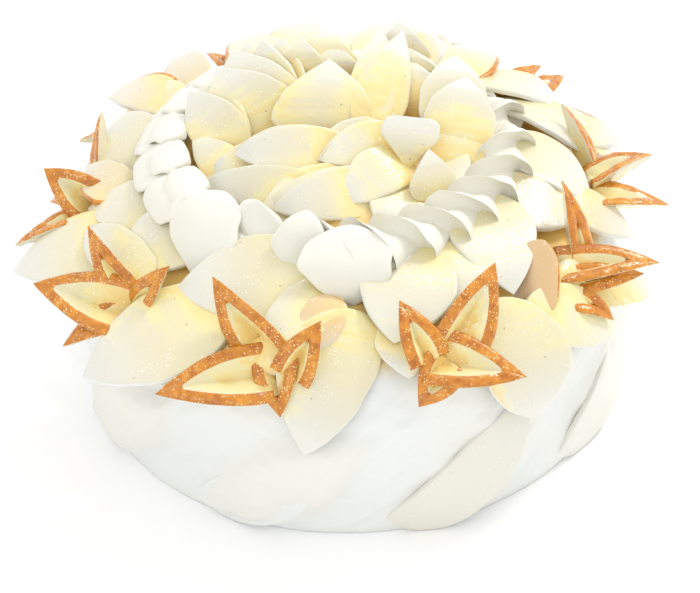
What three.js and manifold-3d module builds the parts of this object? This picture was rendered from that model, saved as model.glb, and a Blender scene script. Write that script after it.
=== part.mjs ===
// A round cream cake crowned with a pear flower: upright slices inside a piped cream ring,
// a skirt of broad slices outside it, and hollow leaf-cut wedges with their skin on the shoulder.
// Millimetres, +Z up, the middle of the flat underside at the origin.
// A place on the cake is [azimuth, radius, height]: azimuth 0 is the front (-Y), + turns to +X.
import * as THREE from 'three';
import { mergeVertices } from 'three/addons/utils/BufferGeometryUtils.js';
import Module from 'manifold-3d';

const wasm = await Module();
wasm.setup();

// ---------------------------------------------------------------- driving dimensions
const SPONGE_ACROSS = 180;          // a size six round sponge
const CREAM_COAT = 9;               // cream and side slices outside the sponge
const WALL_RADIUS = SPONGE_ACROSS / 2 + CREAM_COAT;
const WALL_TOP = 50;                // where the wall starts to round over
const DOME_TOP = 97;                // cream and fruit under the flower
const GAP = 0.3;                    // clearance between pieces that rest on each other
const SLICE_THICK = 4.5;            // knife spacing of the pear slices
const RIM_THICK = 4.2;              // wall of a leaf-cut wedge

const RING_RADIUS = 60;             // centre line of the piped ring
const RING_CENTRE = [-5, 3];        // the ring lies a little to the left and back
const RING_HEIGHT = 88;
const RING_TUBE = 6.5;              // half the rope's thickness between two pulls
const RING_RUFFLE = 4;              // how far a pull of the nozzle swells it
const RING_STROKES = 22;            // pulls of the nozzle round the ring
const RING_SLANT = 0.9;
const RING_STEPS = 3;
const RING_SIDES = 7;

const SIDE_SLICES = 9;              // crescents pressed into the wall
const SIDE_FIRST = 5;               // azimuth of the first one's low tip
const SIDE_SWEEP = 31;              // degrees that one crescent climbs through

const BODY_SEGMENTS = 32;
const SLICE_STEPS = 4;              // rings of points along a slice
const SLICE_SIDES = 5;              // points round a slice
const WEDGE_STEPS = 3;

// ---------------------------------------------------------------- small helpers
const radians = THREE.MathUtils.degToRad;

function place([azimuth, radius, height]) {
  const a = radians(azimuth);
  return new THREE.Vector3(radius * Math.sin(a), -radius * Math.cos(a), height);
}

function facing([azimuth, elevation]) {
  const e = radians(elevation);
  return place([azimuth, Math.cos(e), Math.sin(e)]);
}

// A frame that runs from one place to another with its broad side turned to a direction.
function lengthwise(from, to, side) {
  const along = new THREE.Vector3().subVectors(to, from);
  const length = along.length();
  along.divideScalar(length);
  const normal = side.clone().addScaledVector(along, -side.dot(along)).normalize();
  const across = new THREE.Vector3().crossVectors(normal, along);
  return {
    length,
    point: (u, y, z) => from.clone().addScaledVector(along, u * length)
      .addScaledVector(across, y).addScaledVector(normal, z),
  };
}

// ---------------------------------------------------------------- closed meshes and solids
function solidOf(geometry) {
  const bare = geometry.index ? geometry.clone() : geometry;
  bare.deleteAttribute('normal');
  bare.deleteAttribute('uv');
  const merged = mergeVertices(bare, 1e-4);
  const ids = merged.index.array;
  const kept = [];
  for (let t = 0; t < ids.length; t += 3) {
    const [a, b, c] = [ids[t], ids[t + 1], ids[t + 2]];
    if (a !== b && b !== c && c !== a) kept.push(a, b, c);
  }
  const mesh = new wasm.Mesh({
    numProp: 3,
    vertProperties: new Float32Array(merged.attributes.position.array),
    triVerts: new Uint32Array(kept),
  });
  return new wasm.Manifold(mesh);
}

function geometryOf(solid) {
  const mesh = solid.getMesh();
  const geometry = new THREE.BufferGeometry();
  geometry.setAttribute('position', new THREE.BufferAttribute(mesh.vertProperties, 3));
  geometry.setIndex(new THREE.BufferAttribute(mesh.triVerts, 1));
  geometry.computeVertexNormals();
  return geometry;
}

const joined = (solids) => solids.reduce((all, one) => all.add(one));

function largest(solid) {
  const parts = solid.decompose();
  return parts.reduce((best, part) => (part.volume() > best.volume() ? part : best));
}

// ---------------------------------------------------------------- pear slice
// A bevelled slab from root to tip. Its outline is (4 t (1 - t)) ^ roundness, blunt at the root and
// sharp at the tip; belly shifts the width to one edge; arch bows it towards its broad side.
function slice(root, tip, wide, belly, side, arch, form = {}) {
  const { rootRound = 0.5, tipRound = 0.95, peak = 0.45, thick = SLICE_THICK } = form;
  const { steps = SLICE_STEPS, sides = SLICE_SIDES } = form;
  return (grow = 0) => {
    const from = place(root);
    const to = place(tip);
    const reach = new THREE.Vector3().subVectors(to, from).setLength(grow * 2.5);
    const frame = lengthwise(from.sub(reach), to.add(reach), facing(side));
    const shape = new THREE.SphereGeometry(1, sides, steps);
    const spots = shape.attributes.position;
    const soft = (v) => Math.sign(v) * Math.abs(v) ** 0.55;
    for (let i = 0; i < spots.count; i += 1) {
      const row = Math.floor(i / (sides + 1));
      const column = i % (sides + 1) % sides;
      const u = (1 - Math.cos((Math.PI * row) / steps)) / 2;
      const angle = (-2 * Math.PI * column) / sides;
      const t = u ** (Math.log(0.5) / Math.log(peak));
      const outline = (4 * t * (1 - t)) ** (t < 0.5 ? rootRound : tipRound);
      const swell = row > 0 && row < steps ? grow : 0;
      const half = (wide / 2) * outline + swell;
      const y = half * soft(Math.cos(angle)) + (wide / 2) * belly * outline;
      const depth = (thick / 2) * Math.min(1, outline * 1.6) + swell;
      const z = depth * soft(Math.sin(angle)) + arch * 4 * u * (1 - u);
      const pole = row === 0 || row === steps;
      spots.setXYZ(i, ...(pole ? frame.point(u, 0, 0) : frame.point(u, y, z)));
    }
    return solidOf(shape);
  };
}

// ---------------------------------------------------------------- leaf-cut wedge
// Two walls that meet in a keel below and in a point at the apex, like the prow of a boat:
// half width goes as sin, the keel's depth as a power of the way from the apex. Grown, as the
// cutter for its neighbours, its trough is filled.
function wedge(open, apex, wide, deep, upward, form = {}) {
  const { bulge = 0.9, arch = 2, thick = RIM_THICK } = form;
  return (grow = 0) => {
    const from = place(open);
    const to = place(apex);
    const reach = new THREE.Vector3().subVectors(to, from).setLength(grow * 2);
    const frame = lengthwise(from.sub(reach), to.add(reach), facing(upward));
    const shape = new THREE.CylinderGeometry(1, 1, 1, 6, WEDGE_STEPS);
    const spots = shape.attributes.position;
    for (let i = 0; i < spots.count; i += 1) {
      const [x, y, z] = [spots.getX(i), spots.getY(i), spots.getZ(i)];
      const u = y + 0.5;
      const back = 1 - u;
      const half = Math.max(0.4, (wide / 2) * Math.sin((Math.PI / 2) * Math.min(1, back * 1.15)) ** bulge);
      const keel = deep * Math.min(1, back * 1.6) ** 0.75 + 0.6;
      const inner = grow > 0 ? 0.1 : Math.max(half - thick * 0.9, 0.1);
      const trough = inner > 0.1 ? Math.max(keel - thick, 0.15) : 0.02;
      const outer = [half + grow, keel + grow * 1.5];
      const middle = [0, -(outer[1] + trough) / 2];
      const corners = [[inner, grow], [0, -trough], [-inner, grow],
        [-outer[0], grow], [0, -outer[1]], [outer[0], grow]];
      const onAxis = Math.hypot(x, z) < 1e-6;
      const corner = Math.round(Math.atan2(x, z) / (Math.PI / 3) + 6) % 6;
      const [across, above] = onAxis ? middle : corners[corner];
      spots.setXYZ(i, ...frame.point(u, across, above + arch * 4 * u * back));
    }
    return solidOf(shape);
  };
}

// ---------------------------------------------------------------- cream body
// A lathed wall, shoulder and dome; the palette knife leaves long leaning waves on the wall.
function knifeWave(azimuth, height) {
  const onWall = THREE.MathUtils.smoothstep(height, 4, 20)
    * (1 - THREE.MathUtils.smoothstep(height, WALL_TOP, 75));
  const lean = azimuth * SIDE_SLICES - height / 9;
  return onWall * (0.7 * Math.sin(lean) + 0.45 * Math.sin(azimuth * 4 + height / 17));
}

const DOME = [[75, 78], [61, 82], [50, 86], [39, 91], [24, 95], [0, DOME_TOP]];

function domeHeight(radius) {
  const k = DOME.findIndex(([r]) => r <= radius);
  const [[r1, z1], [r0, z0]] = [DOME[Math.max(k - 1, 0)], DOME[Math.max(k, 1)]];
  return z0 + ((radius - r0) * (z1 - z0)) / (r1 - r0);
}

function creamBody(grow = 0) {
  const profile = [
    [0, -grow], [WALL_RADIUS - 2 + grow, -grow], [WALL_RADIUS - 0.8 + grow, 3],
    [WALL_RADIUS + grow, 25], [WALL_RADIUS + grow, WALL_TOP],
    [WALL_RADIUS - 3 + grow, 61], [WALL_RADIUS - 9 + grow * 0.7, 69 + grow * 0.7],
    ...DOME.map(([r, z]) => [r, z + grow]),
  ].map(([r, z]) => new THREE.Vector2(r, z));
  const shape = new THREE.LatheGeometry(profile, BODY_SEGMENTS);
  const spots = shape.attributes.position;
  for (let i = 0; i < spots.count; i += 1) {
    const [x, z, y] = [spots.getX(i), spots.getY(i), -spots.getZ(i)];
    const r = Math.hypot(x, y);
    const out = r > 1e-6 ? 1 + knifeWave(Math.atan2(x, -y), z) / r : 1;
    spots.setXYZ(i, x * out, y * out, z);
  }
  return solidOf(shape);
}

// ---------------------------------------------------------------- piped ring
// One rope round the flower. Each pull of the nozzle swells it, and the swellings slant from the
// inner edge to the outer one; lobes are where the nozzle paused, at the front left and the left.
// Every lobe is [turn round the ring, extra radius, half width in degrees].
const LOBES = [[-50, 5, 11], [-14, 5, 10], [-84, 4, 9], [-104, 4, 9], [-122, 3, 9]];

function ringRadius(turn, around) {
  const pull = (RING_STROKES * turn) / 2 + RING_SLANT * around;
  const ruffle = 1 - Math.abs(Math.sin(pull));
  const upper = 0.5 + 0.5 * Math.cos(around - Math.PI / 4);
  const pause = LOBES.reduce((sum, [at, extra, half]) => {
    const away = THREE.MathUtils.radToDeg(Math.atan2(Math.sin(turn - radians(at)), Math.cos(turn - radians(at))));
    return sum + extra * Math.exp(-((away / half) ** 2));
  }, 0);
  return RING_TUBE + (RING_RUFFLE * ruffle + pause) * upper;
}

function creamRing(grow = 0) {
  const shape = new THREE.TorusGeometry(1, 0.5, RING_SIDES, RING_STROKES * RING_STEPS);
  const spots = shape.attributes.position;
  const columns = RING_STROKES * RING_STEPS;
  for (let i = 0; i < spots.count; i += 1) {
    const turn = (2 * Math.PI * (i % (columns + 1) % columns)) / columns;
    const around = (2 * Math.PI * (Math.floor(i / (columns + 1)) % RING_SIDES)) / RING_SIDES;
    const tube = ringRadius(turn, around) + grow;
    const radius = RING_RADIUS + tube * Math.cos(around);
    const x = RING_CENTRE[0] + radius * Math.sin(turn);
    const y = RING_CENTRE[1] - radius * Math.cos(turn);
    const rest = domeHeight(Math.hypot(x, y)) + GAP * 2 - grow;
    spots.setXYZ(i, x, y, Math.max(RING_HEIGHT + tube * Math.sin(around), rest));
  }
  return solidOf(shape);
}

// ---------------------------------------------------------------- leaf-cut groups
// Three or four wedges round a small heart of pear, ten groups round the shoulder.
const HEART = { thick: 9, tipRound: 0.5, peak: 0.5, steps: 4, sides: 5 };
const heart = (azimuth, spread) => slice(
  [azimuth - spread, 91, 72], [azimuth + spread, 91, 72], 14, 0, [azimuth, 50], 1, HEART,
);

const LEAF_CUTS = [
  [heart(-17, 6),
    wedge([-19, 92, 74], [-32, 85, 94], 18, 9, [-20, 25]),
    wedge([-19, 98, 70], [-34, 116, 66], 21, 9, [-30, 45]),
    wedge([-12, 96, 73], [-7, 88, 86], 15, 9, [-5, 30]),
    wedge([-16, 94, 71], [-14, 104, 58], 16, 9, [-15, 35])],
  [heart(17, 6),
    wedge([21, 95, 77], [33, 85, 94], 20, 9, [15, 25]),
    wedge([13, 97, 78], [10, 85, 90], 15, 8, [20, 40]),
    wedge([16, 97, 73], [29, 112, 68], 20, 9, [25, 50]),
    wedge([16, 100, 70], [11, 103, 60], 16, 8, [15, 40])],
  [heart(54, 6),
    wedge([55, 89, 77], [65, 115, 74], 16, 8, [60, 60]),
    wedge([54, 93, 72], [63, 111, 71], 12, 7, [60, 40]),
    wedge([60, 90, 77], [67, 79, 97], 11, 7, [50, 45]),
    wedge([51, 96, 70], [54, 108, 62], 12, 7, [50, 45])],
  [heart(90, 9),
    wedge([89, 89, 80], [91, 109, 84], 17, 8, [120, 60]),
    wedge([82, 89, 77], [83, 114, 73], 16, 7, [90, 70]),
    wedge([95, 90, 76], [106, 82, 94], 11, 7, [100, 45])],
  [heart(128, 7),
    wedge([133, 86, 80], [132, 103, 82], 14, 7, [130, 60]),
    wedge([128, 88, 77], [129, 110, 77], 16, 7, [125, 60]),
    wedge([122, 90, 76], [114, 108, 70], 15, 8, [120, 50])],
  [heart(165, 6),
    wedge([160, 90, 77], [152, 100, 82], 14, 7, [160, 50]),
    wedge([166, 94, 74], [168, 114, 68], 18, 8, [166, 50]),
    wedge([170, 92, 77], [179, 100, 80], 14, 7, [172, 45])],
  [heart(-157, 7),
    wedge([-153, 86, 79], [-150, 107, 80], 14, 7, [-150, 60]),
    wedge([-161, 88, 76], [-166, 100, 84], 13, 7, [-165, 50]),
    wedge([-158, 94, 73], [-163, 113, 68], 18, 8, [-158, 48])],
  [heart(-124, 7),
    wedge([-126, 89, 79], [-133, 97, 86], 12, 7, [-130, 60]),
    wedge([-120, 91, 76], [-113, 109, 74], 15, 7, [-118, 55]),
    wedge([-126, 94, 73], [-131, 112, 68], 17, 8, [-126, 48])],
  [heart(-94, 10),
    wedge([-88, 93, 79], [-92, 108, 88], 18, 8, [-70, 45]),
    wedge([-87, 93, 75], [-84, 120, 67], 14, 8, [-90, 60]),
    wedge([-99, 92, 75], [-109, 94, 94], 11, 7, [-100, 45]),
    wedge([-96, 94, 72], [-99, 112, 64], 16, 8, [-96, 45])],
  [heart(-52, 6),
    wedge([-53, 99, 74], [-66, 118, 76], 22, 9, [-50, 55]),
    wedge([-52, 96, 72], [-56, 118, 63], 16, 8, [-60, 45]),
    wedge([-55, 94, 78], [-65, 97, 94], 13, 7, [-50, 40]),
    wedge([-50, 92, 76], [-45, 85, 90], 12, 7, [-40, 35])],
];

// ---------------------------------------------------------------- flower inside the ring
// A loose spiral: low slices that point to the front left, tall ones round the back.
const FLOWER = [
  [slice([-22, 34, 96], [-70, 55, 94], 13, -0.1, [-15, 48], 3, { tipRound: 0.8, peak: 0.5 })],
  [slice([3, 32, 97], [-43, 43, 93], 17, 0.1, [-15, 48], 3, { tipRound: 0.8, peak: 0.5 })],
  [slice([30, 37, 97], [-4, 35, 94], 17, -0.55, [-12, 48], 2, { tipRound: 0.8, peak: 0.35 })],
  [slice([39, 21, 102], [-32, 19, 100], 14, -0.25, [-8, 48], 2, { tipRound: 0.8, peak: 0.35 })],
  [slice([-26, 16, 101], [-80, 39, 100], 14, 0.1, [-10, 48], 3, { tipRound: 0.75, peak: 0.5 })],
  [slice([-69, 40, 92], [-96, 55, 98], 16, 0.1, [-5, 55], 1, { tipRound: 1.1, peak: 0.3 })],
  [slice([-92, 37, 93], [-114, 56, 108], 20, 0.1, [-15, 42], 2, { tipRound: 0.8, peak: 0.45 })],
  [slice([-101, 30, 94], [-118, 51, 114], 32, -0.1, [-5, 40], 2, { tipRound: 1.0, peak: 0.4 })],
  [slice([41, 30, 94], [66, 25, 112], 20, 0, [5, 25], 1, { rootRound: 0.9, tipRound: 0.22, peak: 0.75 })],
  [slice([44, 42, 91], [53, 35, 106], 17, 0, [20, 30], 1, { tipRound: 1.0, peak: 0.25 })],
  [slice([66, 41, 89.5], [89, 40, 105.5], 20, 0.1, [20, 42], 2, { tipRound: 0.5, peak: 0.5 }),
    slice([76, 40, 97], [102, 44, 115], 24, 0.1, [20, 45], 2, { tipRound: 0.45, peak: 0.5 })],
  [slice([99, 9, 99], [160, 42, 119], 20, 0, [2, 35], 3, { tipRound: 1.1, peak: 0.35 }),
    slice([83, 11, 99], [145, 29, 114], 8, 0, [0, 30], 1, { tipRound: 0.8 })],
  [slice([-102, 9, 98], [-160, 22, 116], 34, 0, [-3, 38], 2, { tipRound: 0.9, peak: 0.28 })],
  [slice([130, 32, 92.5], [136, 40, 106], 19, 0, [5, 40], 1, { tipRound: 0.25, peak: 0.5 }),
    slice([140, 34, 100.5], [140, 37, 116.5], 17, 0, [5, 40], 1, { tipRound: 0.4, peak: 0.5 })],
  [slice([-170, 24, 95], [-177, 36, 115], 22, 0, [-3, 36], 2, { tipRound: 0.9, peak: 0.4 }),
    slice([-164, 28, 101.5], [-173, 42, 118.5], 22, 0, [-3, 35], 2, { tipRound: 0.9, peak: 0.4 })],
  [slice([-130, 43, 96], [-142, 56, 113], 14, 0, [-8, 35], 2, { tipRound: 1.1, peak: 0.35 }),
    slice([-134, 31, 97], [-153, 47, 115], 17, 0.15, [-30, 30], 2, { tipRound: 0.9, peak: 0.5 }),
    slice([-151, 33, 100.5], [-159, 39, 118], 14, 0, [-5, 35], 2, { tipRound: 0.8, peak: 0.4 })],
  [slice([153, 44, 104], [138, 58, 108], 13, 0, [5, 55], 2, { tipRound: 0.35, peak: 0.5 }),
    slice([154, 42, 102], [155, 50, 118], 14, -0.3, [5, 40], 2, { tipRound: 0.6 })],
];

// ---------------------------------------------------------------- skirt outside the ring
// Fans of one to four slices that lie on each other and on the shoulder.
const SKIRT = [
  [slice([4, 78, 80], [-10, 105, 43], 31, -0.35, [-5, 30], 6)],
  [slice([34, 85, 79], [33, 106, 42], 32, 0.1, [25, 35], 6, { peak: 0.55 })],
  [slice([55, 49, 91], [37, 88, 77], 33, 0.3, [25, 55], 5, { peak: 0.5 }),
    slice([40, 56, 88], [24, 84, 79], 18, 0, [14, 52], 3)],
  [slice([21, 50, 89], [8, 90, 77], 32, 0.2, [0, 55], 4, { peak: 0.55 }),
    slice([11, 79, 79], [10, 98, 68], 19, 0, [5, 40], 2)],
  [slice([-7, 58, 88], [-44, 84, 81], 31, 0.25, [-25, 55], 4),
    slice([-5, 66, 84], [-20, 90, 76], 20, 0.2, [-20, 50], 3),
    slice([-4, 72, 83], [-11, 91, 74], 15, 0, [-10, 45], 2)],
  [slice([-30, 78, 80], [-50, 119, 58], 34, 0.1, [-45, 55], 4),
    slice([-25, 88, 73], [-42, 104, 59], 26, 0, [-35, 45], 3)],
  [slice([-65, 55, 87], [-86, 93, 77], 24, 0.2, [-70, 60], 4)],
  [slice([-49, 62, 86], [-68, 84, 81], 26, 0, [-45, 57], 3)],
  [slice([-73, 77, 80], [-81, 122, 60], 30, 0.2, [-70, 60], 3),
    slice([-53, 83, 80], [-78, 94, 78], 18, 0.2, [-62, 55], 3)],
  [slice([-92, 63, 84], [-116, 96, 84], 28, 0.2, [-95, 55], 4)],
  [slice([-87, 74, 84], [-96, 96, 82], 18, 0.4, [-82, 57], 3)],
  [slice([36, 82, 77], [55, 87, 79], 22, -0.6, [35, 50], 2)],
  [slice([64, 49, 91], [70, 84, 78], 24, -0.2, [55, 60], 3)],
  [slice([90, 48, 91], [77, 87, 79], 25, 0.45, [65, 60], 4)],
  [slice([70, 73, 83], [76, 103, 67], 18, 0.3, [65, 55], 2)],
  [slice([37, 92, 72], [57, 109, 54], 22, 0.2, [45, 45], 3),
    slice([52, 94, 69], [70, 113, 54], 16, 0.3, [60, 40], 2)],
  [slice([105, 76, 82], [105, 108, 72], 20, 0.3, [95, 60], 2),
    slice([107, 75, 83], [111, 100, 76], 16, 0.5, [105, 60], 2),
    slice([105, 80, 81], [106, 111, 52], 26, 0.1, [104, 42], 6)],
  [slice([138, 66, 88], [114, 88, 82], 30, 0.45, [115, 65], 4),
    slice([121, 62, 89], [97, 86, 80], 28, 0.45, [96, 62], 4)],
  [slice([140, 62, 88], [146, 100, 82], 24, 0, [150, 60], 3),
    slice([137, 73, 84], [137, 92, 80], 16, 0.6, [140, 60], 2),
    slice([142, 77, 83], [147, 110, 50], 30, 0.1, [146, 42], 6)],
  [slice([168, 60, 87], [169, 107, 83], 24, 0, [170, 60], 3),
    slice([154, 62, 86], [160, 106, 82], 22, 0, [160, 60], 3),
    slice([177, 58, 86], [178, 102, 82], 24, 0.3, [180, 60], 3),
    slice([-178, 75, 86], [-178, 110, 48], 30, -0.1, [-178, 42], 6)],
  [slice([-160, 64, 86], [-176, 113, 82], 24, 0.4, [-175, 60], 3),
    slice([-152, 65, 86], [-158, 108, 82], 24, -0.2, [-160, 60], 3),
    slice([-151, 72, 92], [-143, 110, 50], 28, 0.1, [-141, 42], 6),
    slice([-136, 72, 84], [-147, 111, 82], 22, 0.5, [-130, 60], 2)],
  [slice([-124, 76, 83], [-122, 106, 84], 22, -0.6, [-100, 60], 2),
    slice([-126, 74, 84], [-130, 96, 84], 16, 0, [-110, 60], 2),
    slice([-123, 75, 86], [-110, 111, 54], 26, 0.1, [-112, 42], 6)],
];

// ---------------------------------------------------------------- crescents in the wall
const sideSlices = Array.from({ length: SIDE_SLICES }, (_, i) => {
  const start = SIDE_FIRST + (i * 360) / SIDE_SLICES;
  return [slice(
    [start, WALL_RADIUS - 1, 6], [start + SIDE_SWEEP, WALL_RADIUS - 2, 47],
    25, -0.55, [start + SIDE_SWEEP / 2, 5], 8, { rootRound: 0.55, tipRound: 0.8, steps: 4 },
  )];
});

// ---------------------------------------------------------------- finishes and assembly
const finish = (name, color, roughness) => Object.assign(
  new THREE.MeshStandardMaterial({ color, roughness, metalness: 0 }), { name },
);
const WHIPPED_CREAM = finish('whipped_cream', 0xfbfaf4, 0.6);
const PEAR_FLESH = finish('pear_flesh', 0xf4eccb, 0.25);
const PEAR_SKIN = finish('pear_skin', 0xd28a32, 0.35);
const VEILED_PEAR = finish('veiled_pear', 0xf3efdc, 0.5);

const placed = [];

const apart = (a, b) => [0, 1, 2].some((k) => a.max[k] < b.min[k] || b.max[k] < a.min[k]);

// Cuts a new piece back by everything already in place, with the gap, and keeps its main body.
function settle(name, makers, material) {
  const whole = joined(makers.map((make) => make(0)));
  const grown = joined(makers.map((make) => make(GAP)));
  const box = grown.boundingBox();
  const cut = placed.filter((other) => !apart(other.box, box))
    .reduce((solid, other) => solid.subtract(other.grown).subtract(other.solid), whole);
  placed.push({ name, material, solid: largest(cut), grown, box });
}

function settleAll(prefix, groups, material) {
  groups.forEach((makers, i) => settle(`${prefix}_${String(i + 1).padStart(2, '0')}`, makers, material));
}

settle('cream_cake', [creamBody], WHIPPED_CREAM);
settle('cream_ring', [creamRing], WHIPPED_CREAM);
settleAll('leaf_cut', LEAF_CUTS, PEAR_SKIN);
settleAll('flower_slice', FLOWER, PEAR_FLESH);
settleAll('skirt_fan', SKIRT, PEAR_FLESH);
settleAll('side_slice', sideSlices, VEILED_PEAR);

const cake = new THREE.Group();
for (const piece of placed) {
  const mesh = new THREE.Mesh(geometryOf(piece.solid), piece.material.clone());
  mesh.name = piece.name;
  cake.add(mesh);
}

export default cake;
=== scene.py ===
"""A round cream cake crowned with a flower of glazed pear slices.

Millimetres until the mesh is made, +Z up, the middle of the flat underside at the origin.
A place on the cake is (azimuth, radius, height): azimuth 0 is the front (-Y), + turns to +X.
"""
import bpy
import numpy as np
from mathutils import Matrix, Vector


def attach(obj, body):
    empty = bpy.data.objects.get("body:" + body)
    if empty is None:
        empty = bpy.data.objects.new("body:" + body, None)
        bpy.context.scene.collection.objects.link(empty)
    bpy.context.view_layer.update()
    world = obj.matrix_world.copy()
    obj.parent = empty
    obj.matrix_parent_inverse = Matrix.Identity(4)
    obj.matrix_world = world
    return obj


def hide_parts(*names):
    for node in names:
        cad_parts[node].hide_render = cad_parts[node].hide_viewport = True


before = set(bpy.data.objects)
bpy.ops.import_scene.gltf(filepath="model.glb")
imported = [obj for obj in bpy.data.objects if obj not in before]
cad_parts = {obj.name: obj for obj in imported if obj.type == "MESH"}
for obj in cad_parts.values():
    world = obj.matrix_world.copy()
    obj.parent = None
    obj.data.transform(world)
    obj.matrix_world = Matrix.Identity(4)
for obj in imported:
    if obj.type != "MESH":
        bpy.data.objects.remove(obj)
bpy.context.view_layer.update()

# ---------------------------------------------------------------- driving dimensions, mm
SPONGE_ACROSS = 180.0       # a size six round sponge
CREAM_COAT = 9.0            # cream and side slices outside the sponge
WALL_RADIUS = SPONGE_ACROSS / 2 + CREAM_COAT
WALL_TOP = 50.0             # where the wall starts to round over
DOME_TOP = 97.0
SLICE_THICK = 4.5           # knife spacing of the pear slices
RIM_THICK = 4.8             # wall of a leaf-cut wedge

RING_RADIUS = 60.0          # centre line of the piped ring
RING_CENTRE = (-5.0, 3.0)
RING_HEIGHT = 90.0
RING_TUBE = 6.5
PULLS = 43                  # pulls of the nozzle in the whole rope

SIDE_SLICES = 9             # crescents pressed into the wall
SIDE_FIRST = 5.0            # azimuth of the first one's low tip
SIDE_SWEEP = 31.0           # degrees that one crescent climbs through
# How far each crescent shows through the cream, 1 bare, 0 covered.
SIDE_SHOWN = (1.0, 0.7, 0.1, 0.0, 0.3, 0.1, 0.2, 0.0, 0.2)

MM = 0.001
chance = np.random.default_rng(23)


# ---------------------------------------------------------------- small helpers
def place(spot):
    """A place (azimuth, radius, height) turned to x, y, z."""
    azimuth, radius, height = spot
    a = np.radians(azimuth)
    return np.array([radius * np.sin(a), -radius * np.cos(a), height])


def facing(direction):
    """The unit vector that points to an azimuth and an elevation."""
    azimuth, elevation = direction
    e = np.radians(elevation)
    return place((azimuth, np.cos(e), np.sin(e)))


def smooth(low, high, value):
    """0 below low, 1 above high, 3t^2 - 2t^3 between."""
    t = np.clip((value - low) / (high - low), 0, 1)
    return t * t * (3 - 2 * t)


def ripple(points, length, seed, waves=9):
    """Gentle unevenness about -1 to 1: a mean of sine waves of one length in seeded directions."""
    draw = np.random.default_rng(seed)
    ways = draw.normal(size=(waves, 3))
    ways /= np.linalg.norm(ways, axis=1, keepdims=True)
    turns = points @ (ways.T * (2 * np.pi / length)) + draw.uniform(0, 2 * np.pi, waves)
    return np.sin(turns).sum(axis=-1) / np.sqrt(waves)


def soft_power(value, power):
    """A sign-keeping power: below 1 it squares off a circle's sine and cosine."""
    return np.sign(value) * np.abs(value) ** power


def lengthwise(start, end, side):
    """Unit vectors along a piece, across it, and out of its broad side, and its length."""
    along = end - start
    length = np.linalg.norm(along)
    along = along / length
    normal = side - (side @ along) * along
    normal = normal / np.linalg.norm(normal)
    return along, np.cross(normal, along), normal, length


def looped_grid(rings):
    """Faces of rings of points that wrap round both ways, as on a torus."""
    count, columns = rings.shape[:2]
    row, column = np.meshgrid(np.arange(count), np.arange(columns), indexing="ij")
    here = row * columns + column
    beside = row * columns + (column + 1) % columns
    ahead = (row + 1) % count * columns
    quads = np.stack([here, beside, ahead + (column + 1) % columns, ahead + column], axis=-1)
    return rings.reshape(-1, 3), quads.reshape(-1, 4), np.zeros((0, 3), int)


def closed_grid(rings, low_end, high_end):
    """Faces of rings of points that wrap round, with a point closing each end."""
    count, columns = rings.shape[:2]
    points = np.concatenate([rings.reshape(-1, 3), [low_end, high_end]])
    row, column = np.meshgrid(np.arange(count - 1), np.arange(columns), indexing="ij")
    here = row * columns + column
    beside = row * columns + (column + 1) % columns
    quads = np.stack([here, beside, beside + columns, here + columns], axis=-1).reshape(-1, 4)
    first = np.arange(columns)
    after = (first + 1) % columns
    last = (count - 1) * columns
    low = np.stack([after, first, np.full(columns, count * columns)], axis=-1)
    high = np.stack([last + first, last + after, np.full(columns, count * columns + 1)], axis=-1)
    return points, quads, np.concatenate([low, high])


def outward(points, quads, triangles):
    """Turns every face round if the surface encloses a negative volume."""
    fans = np.concatenate([triangles, quads[:, [0, 1, 2]], quads[:, [0, 2, 3]]])
    a, b, c = (points[fans[:, k]] for k in range(3))
    if np.einsum("ij,ij->", a, np.cross(b, c)) < 0:
        return quads[:, ::-1], triangles[:, ::-1]
    return quads, triangles


def surface(rings, ends=None, **paint):
    """One closed surface with its faces outward and its painted values, one for each point."""
    points, quads, triangles = closed_grid(rings, *ends) if ends else looped_grid(rings)
    quads, triangles = outward(points, quads, triangles)
    values = {}
    for name, value in paint.items():
        full = np.broadcast_to(value, rings.shape[:2]).reshape(-1)
        values[name] = np.concatenate([full, [full[0], full[-1]]]) if ends else full
    return points, quads, triangles, values


# Painted values: depth carries painted shade and glow in crevices and at roots; the last one
# carries a real cream cover and painted light on edges and tips.
PAINTS = ("skin", "depth", "ripe", "veil")


def piece(name, parts, material, slot, *nodes):
    """Joins surfaces into one mesh object with its painted attributes, and hides the imported parts
    of the given names.
    """
    points, faces, start = [], [], 0
    values = {paint: [] for paint in PAINTS}
    for spots, quads, triangles, painted in parts:
        points.append(spots)
        faces += (quads + start).tolist() + (triangles + start).tolist()
        for paint in PAINTS:
            values[paint].append(painted.get(paint, np.zeros(len(spots))))
        start += len(spots)
    mesh = bpy.data.meshes.new(name)
    mesh.from_pydata((np.concatenate(points) * MM).tolist(), [], faces)
    for paint in PAINTS:
        layer = mesh.attributes.new(paint, "FLOAT", "POINT")
        layer.data.foreach_set("value", np.concatenate(values[paint]).astype(np.float32))
    mesh.shade_smooth()
    mesh.materials.append(material)
    made = bpy.data.objects.new(name, mesh)
    bpy.context.scene.collection.objects.link(made)
    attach(made, "root")
    if nodes:
        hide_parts(*nodes)
    return made


# ---------------------------------------------------------------- pear slice
LEAF_THICK = SLICE_THICK * 0.6    # mm, as thick as a slice's edge looks
THIN_EDGE = 0.12            # share of its thickness that a slice loses at its straighter edge
FULL_THICK = 1.9            # the outline times this, up to 1, thins a slice towards its ends
# Waves of the outline: share of the half width, radians from root to tip, and how far apart the
# two edges are.
EDGE_WAVES = ((0.022, 9, 1), (0.014, 21, 2))
BOW = 0.5                   # mm that a seeded wave bends a slice
TWIST = 0.35                # mm that another one twists it
FLUTES = 3                  # grooves across a fluted piece
PALE = 0.55                 # how far edges and tips are painted creamy white: painted light


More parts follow.
